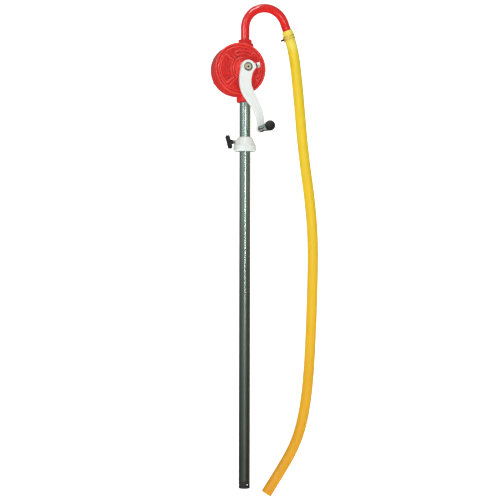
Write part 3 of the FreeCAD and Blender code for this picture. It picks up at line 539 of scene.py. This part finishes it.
def make_materials():
    """Every slot's material, and the set bolt's own."""
    made = {
        "red_paint": cast_enamel(),
        "spout_paint": tube_enamel(),
        "adaptor_paint": adaptor_paint(),
        "crank_paint": crank_paint(),
        "shaft_steel": shaft_steel(),
        "set_bolt": set_bolt(),
        "tube_steel": tube_finish(),
        "hose_yellow": hose_finish(),
    }
    made.update({name: metal(name, *look) for name, look in METALS.items()})
    made.update({name: moulded(name, *look) for name, look in MOULDINGS.items()})
    return made


# ---------------------------------------------------------------- shapes


# Millimetres. The thread is cut where the adaptor's skin lies outside THREAD_INNER_R.
THREAD_PITCH, THREAD_DEPTH, THREAD_INNER_R = 2.309, 1.3, 27.0
THREAD_TOP, THREAD_BOTTOM, THREAD_RUN_OUT = -1.2, -12.2, 0.5

# The pumping chamber's axis, radius and front wall, and how near its corner the smoothing has an effect.
CHAMBER_X, CHAMBER_Z, CHAMBER_R, CHAMBER_FRONT = -18.0, 191.5, 57.0, -15.0
CORNER_REACH, CORNER_PAST, CORNER_ROOM = 2.5, 0.3, 0.1

SMOOTH_FACTOR = 0.5


def soft_cast(node, voxel, passes):
    """A CAD node's shape with rounded edges, as cast or moulded: remeshed finely and smoothed."""
    name = node + "_casting"
    piece = bpy.data.objects.new(name, NODES[node].data.copy())
    bpy.context.scene.collection.objects.link(piece)
    remesh = piece.modifiers.new("remesh", "REMESH")
    remesh.mode = "VOXEL"
    remesh.voxel_size = voxel
    remesh.use_smooth_shade = True
    smooth = piece.modifiers.new("smooth", "SMOOTH")
    smooth.factor = SMOOTH_FACTOR
    smooth.iterations = passes
    apply_modifiers(piece)
    return piece


def apply_modifiers(piece):
    """Gives a piece the mesh that its modifiers make of it."""
    evaluated = piece.evaluated_get(bpy.context.evaluated_depsgraph_get())
    mesh = bpy.data.meshes.new_from_object(evaluated)
    piece.modifiers.clear()
    old = piece.data
    piece.data = mesh
    bpy.data.meshes.remove(old)
    mesh.name = piece.name
    shade_smooth(mesh)


def cut_thread(mesh):
    """Presses the pipe thread's helical groove in the adaptor's lower band, never outward."""
    for vertex in mesh.vertices:
        x, y, z = vertex.co / MM
        radius = math.hypot(x, y)
        if radius < THREAD_INNER_R:
            continue
        inside = min(THREAD_TOP - z, z - THREAD_BOTTOM)
        fade = min(max(inside + THREAD_RUN_OUT, 0.0), 1.0)
        phase = z / THREAD_PITCH - math.atan2(y, x) / (2 * math.pi)
        depth = THREAD_DEPTH * fade * (0.5 - 0.5 * math.cos(2 * math.pi * phase))
        vertex.co.x *= (radius - depth) / radius
        vertex.co.y *= (radius - depth) / radius


def square_chamber(mesh):
    """Squares the pumping chamber's front corner, which the smoothing rounds, so that the vanes clear it."""
    for vertex in mesh.vertices:
        x, y, z = vertex.co / MM
        radius = math.hypot(x - CHAMBER_X, z - CHAMBER_Z)
        to_wall, to_front = CHAMBER_R - radius, y - CHAMBER_FRONT
        if not (-CORNER_PAST < to_wall < CORNER_REACH and -CORNER_PAST < to_front < CORNER_REACH):
            continue
        if to_wall < to_front:
            grow = (CHAMBER_R + CORNER_ROOM) / radius
            vertex.co.x = (CHAMBER_X + (x - CHAMBER_X) * grow) * MM
            vertex.co.z = (CHAMBER_Z + (z - CHAMBER_Z) * grow) * MM
        else:
            vertex.co.y = (CHAMBER_FRONT - CORNER_ROOM) * MM


def stand_for(piece, body, node, materials):
    """Puts a piece in a CAD node's place, with the node's slot and material."""
    slot = SLOTS[node]
    piece.data.materials.clear()
    piece.data.materials.append(materials[slot])
    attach(piece, body)
    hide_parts(node)


# ---------------------------------------------------------------- hose

HOSE_R, HOSE_BORE_R = 13.5, 11.0
HOSE_POINTS = [
    (110.5, 296.5),
    (122.0, 266.5),
    (131.5, 222.0),
    (141.0, 140.0),
    (153.5, -5.0),
    (173.5, -140.0),
    (181.5, -240.0),
    (180.5, -350.0),
    (174.5, -520.0),
    (166.0, -632.0),
    (152.0, -710.0),
    (131.0, -768.0),
    (95.0, -827.0),
    (57.5, -882.5),
]
HOSE_SIDES = 40
HOSE_STEPS = 48

HOSE_SHAPE = [
    # (place along the hose, width, change of radius), all in mm: pinched under the clamp's two wires,
    # swollen between them and before them, and rounded at its edge.
    (14.0, 1.6, -0.55),
    (21.5, 1.6, -0.55),
    (17.75, 1.8, 0.25),
    (7.0, 2.2, 0.18),
    (0.0, 1.0, -0.5),
]


def hose_route():
    """The centreline: points read from a smooth spline through the route."""
    curve = bpy.data.curves.new("hose_route", "CURVE")
    curve.dimensions = "3D"
    spline = curve.splines.new("NURBS")
    spline.points.add(len(HOSE_POINTS) - 1)
    for point, (x, z) in zip(spline.points, HOSE_POINTS):
        point.co = (x * MM, 0, z * MM, 1)
    spline.order_u = 3
    spline.use_endpoint_u = True
    curve.resolution_u = HOSE_STEPS
    route = bpy.data.objects.new("hose_route", curve)
    line = bpy.data.meshes.new_from_object(route)
    points = np.array([vertex.co for vertex in line.vertices])
    bpy.data.objects.remove(route)
    bpy.data.curves.remove(curve)
    bpy.data.meshes.remove(line)
    return points


def hose_radius(place):
    """The hose's outer radius at a place along it, in mm."""
    radius = HOSE_R
    for centre, width, change in HOSE_SHAPE:
        radius += change * math.exp(-(((place - centre) / width) ** 2))
    return radius


def distances(points):
    """How far along the line through the points each of them lies."""
    places = [0.0]
    for before, after in zip(points, points[1:]):
        places.append(places[-1] + float(np.linalg.norm(after - before)))
    return places


def add_ring(bm, centre, side, across, radius):
    """A ring of vertices round a centre."""
    ring = []
    for step in range(HOSE_SIDES):
        angle = 2 * math.pi * step / HOSE_SIDES
        offset = (side * math.cos(angle) + across * math.sin(angle)) * radius
        ring.append(bm.verts.new(centre + offset))
    return ring


def bridge(bm, first, second, flip):
    """A band of faces between two rings."""
    count = len(first)
    for step in range(count):
        follow = (step + 1) % count
        corners = [first[step], first[follow], second[follow], second[step]]
        bm.faces.new(corners[::-1] if flip else corners)


def hose_mesh(centres):
    """A tube with a bore, square to its centreline all along."""
    bm = bmesh.new()
    across = Vector((0, 1, 0))
    rings = {"outer": [], "inner": []}
    last = len(centres) - 1
    for index, (centre, place) in enumerate(zip(centres, distances(centres))):
        way = Vector(centres[min(index + 1, last)] - centres[max(index - 1, 0)]).normalized()
        side = across.cross(way)
        rings["outer"].append(add_ring(bm, Vector(centre), side, across, hose_radius(place / MM) * MM))
        rings["inner"].append(add_ring(bm, Vector(centre), side, across, HOSE_BORE_R * MM))
    for name, flip in (("outer", False), ("inner", True)):
        for first, second in zip(rings[name], rings[name][1:]):
            bridge(bm, first, second, flip)
    bridge(bm, rings["inner"][0], rings["outer"][0], False)
    bridge(bm, rings["outer"][-1], rings["inner"][-1], False)
    bmesh.ops.recalc_face_normals(bm, faces=bm.faces)
    return mesh_from(bm, "delivery_hose_tube")


def build_hose(materials):
    """The delivery hose, which hangs from the spout in one long curve."""
    centres = hose_route()
    hose = bpy.data.objects.new("delivery_hose_tube", hose_mesh(centres))
    bpy.context.scene.collection.objects.link(hose)
    stand_for(hose, "pump", "delivery_hose", materials)


# ---------------------------------------------------------------- assembly

SLOTS = {part["node"]: part["material_slot"] for part in frame["record"]["subparts"]}
BODY_OF = {node: body for body, nodes in frame["record"]["behaviour"]["bodies"].items() for node in nodes}

# Nodes whose finish isn't the plain one of their slot; the set bolt's has painted shade on its shank.
OWN_FINISH = {"crank_set_bolt": "set_bolt"}

SOFT_CAST = {
    # node: (voxel in mm, smoothing passes)
    "pump_casing": (0.7, 2),
    "rear_cover": (0.9, 4),
    "crank_arm": (0.6, 8),
    "bung_adaptor": (0.4, 2),
    "wing_knob": (0.4, 1),
    "suction_foot": (0.5, 3),
}

# What is shaped further once it is smooth.
RESHAPE = {"bung_adaptor": cut_thread, "pump_casing": square_chamber}


def main():
    """Finishes the CAD nodes, stands the made pieces in for theirs, and sets the scene."""
    materials = make_materials()
    for node, item in NODES.items():
        item.data.materials.clear()
        item.data.materials.append(materials[OWN_FINISH.get(node, SLOTS[node])])
    for node, (voxel, passes) in SOFT_CAST.items():
        piece = soft_cast(node, voxel * MM, passes)
        if node in RESHAPE:
            RESHAPE[node](piece.data)
        stand_for(piece, BODY_OF[node], node, materials)
    build_hose(materials)
    add_camera()
    add_lights()
    add_floor()
    bpy.context.scene.view_settings.view_transform = "Standard"


main()
